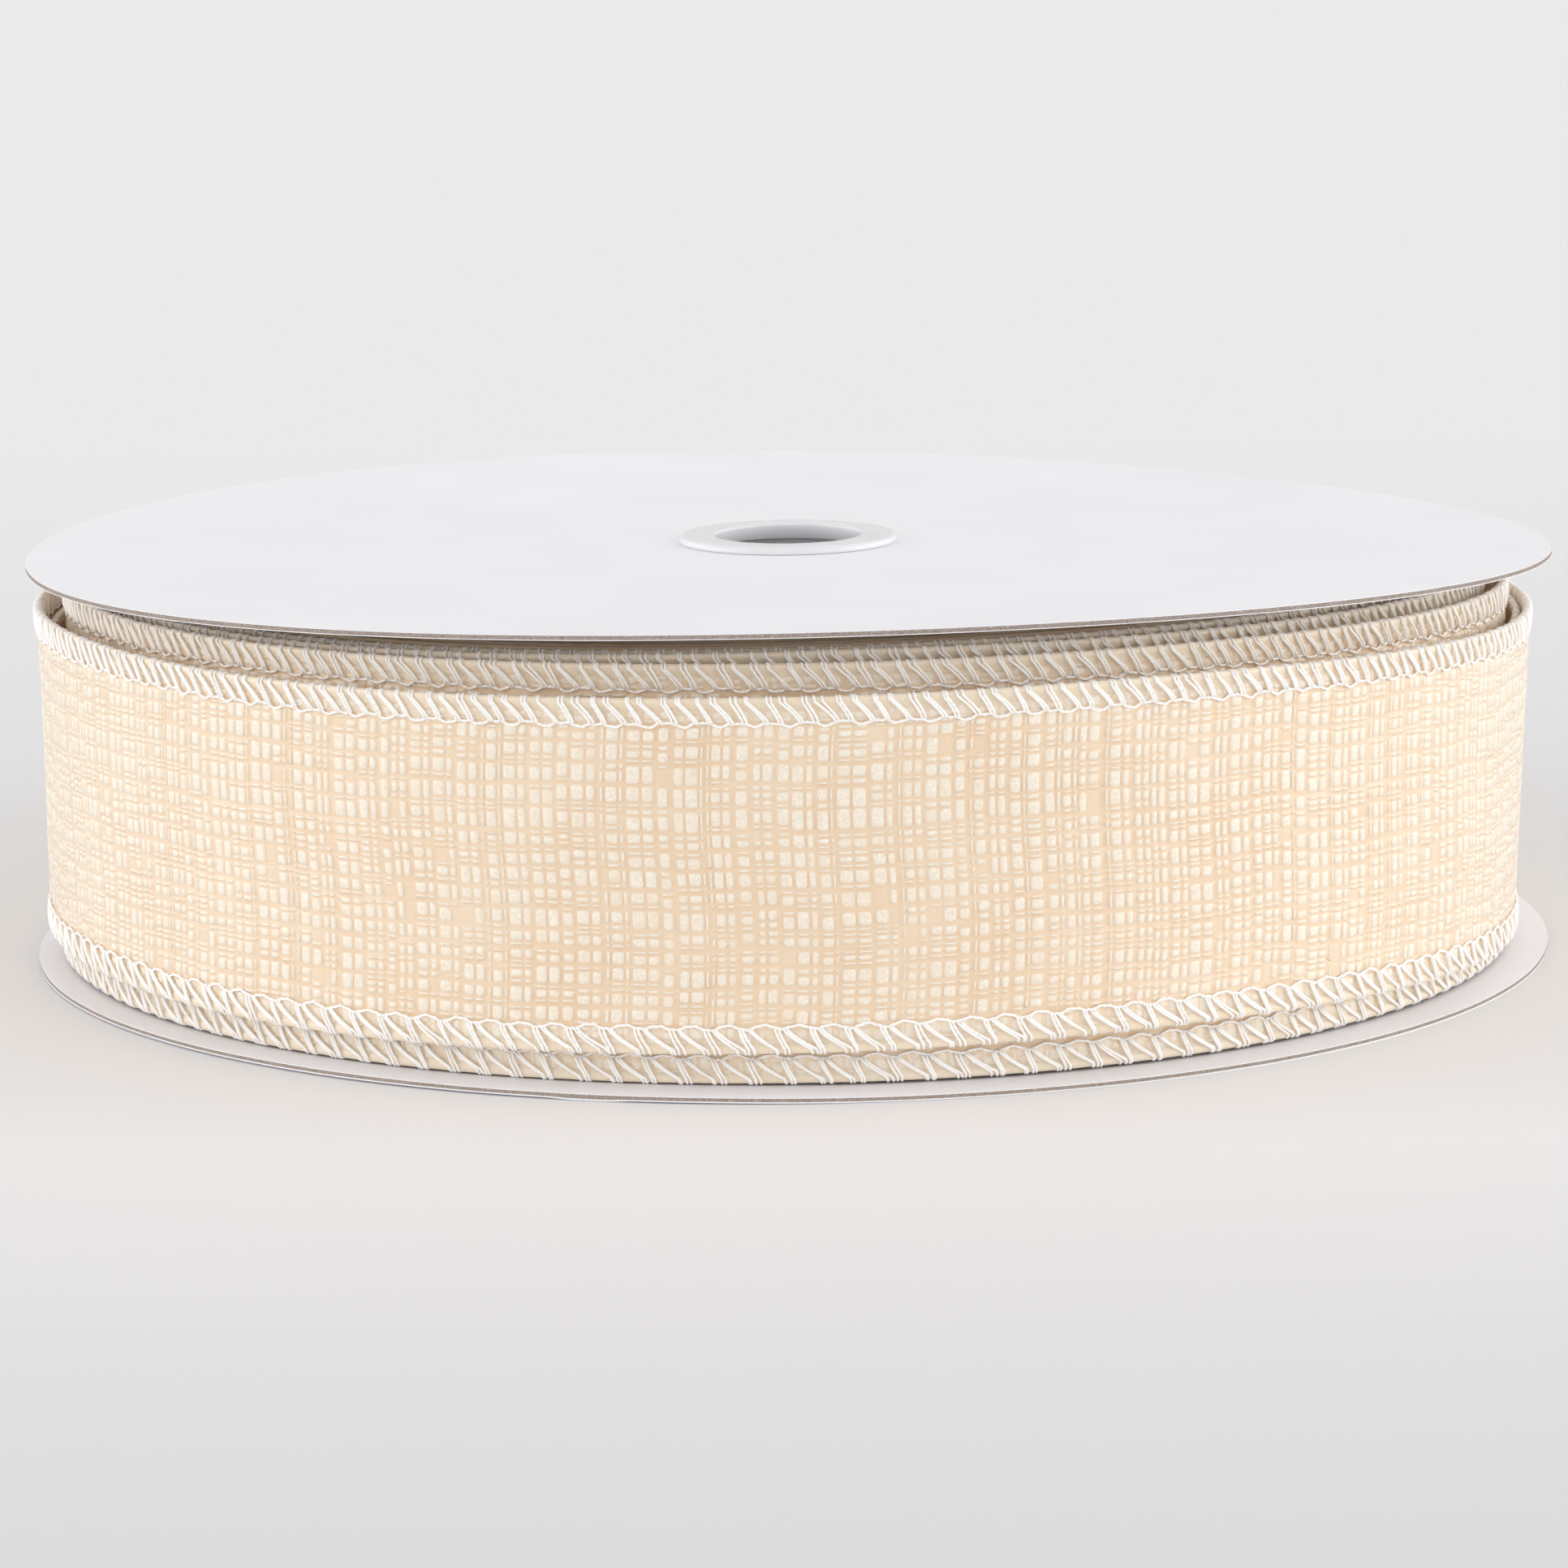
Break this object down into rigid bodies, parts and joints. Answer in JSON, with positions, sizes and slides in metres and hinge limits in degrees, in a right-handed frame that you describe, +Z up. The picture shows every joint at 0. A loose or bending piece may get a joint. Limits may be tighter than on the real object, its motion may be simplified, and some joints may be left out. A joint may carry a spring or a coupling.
{
  "type": "ribbon spool",
  "caption": "Round flanged spool lying flat, wound with wire-edged embossed ribbon; a clear collar lines the bore it turns on.",
  "frame": {"origin": "on the floor, on the bore's axis, with the spool lying flat on its bottom flange", "axes": "+Z up along the spool's axis; the ribbon's free end is at the back, on the +Y side"},
  "size_m": [0.18, 0.18, 0.0484],
  "materials": {
    "white_liner": "matt coated",
    "chipboard": "raw speckled",
    "core_board": "raw kraft",
    "clear_plastic": "clear, slightly blue",
    "white_plastic": "satin",
    "tape": "matt",
    "ribbon_fabric": "embossed nonwoven",
    "stitching_thread": "spun thread",
    "edge_wire": "drawn"
  },
  "bodies": {
    "hub": {"top_hub_eyelet": "clear_plastic", "bottom_hub_eyelet": "clear_plastic", "core_tube": "core_board", "top_core_plug": "white_plastic", "bottom_core_plug": "white_plastic", "ribbon_start_tape": "tape", "ribbon_fabric": "ribbon_fabric", "ribbon_top_wire": "edge_wire", "ribbon_bottom_wire": "edge_wire", "ribbon_top_stitching": "stitching_thread", "ribbon_bottom_stitching": "stitching_thread"},
    "top_flange": {"top_flange_outer_liner": "white_liner", "top_flange_board": "chipboard", "top_flange_inner_liner": "white_liner"},
    "bottom_flange": {"bottom_flange_inner_liner": "white_liner", "bottom_flange_board": "chipboard", "bottom_flange_outer_liner": "white_liner"},
    "ribbon_tail": {"tail_fabric": "ribbon_fabric", "tail_top_wire": "edge_wire", "tail_bottom_wire": "edge_wire", "tail_top_stitching": "stitching_thread", "tail_bottom_stitching": "stitching_thread"}
  },
  "joints": [
    {"name": "top_flange_turn", "type": "hinge", "parent": "hub", "child": "top_flange", "pos_m": [0, 0, 0.0472], "axis": [0, 0, 1], "continuous": true},
    {"name": "bottom_flange_turn", "type": "hinge", "parent": "hub", "child": "bottom_flange", "pos_m": [0, 0, 0.0012], "axis": [0, 0, 1], "continuous": true},
    {"name": "ribbon_tail_lift", "type": "hinge", "parent": "hub", "child": "ribbon_tail", "pos_m": [-0.02981, 0.0828, 0.0234], "axis": [0, 0, -1], "range_deg": [0, 60]}
  ]
}
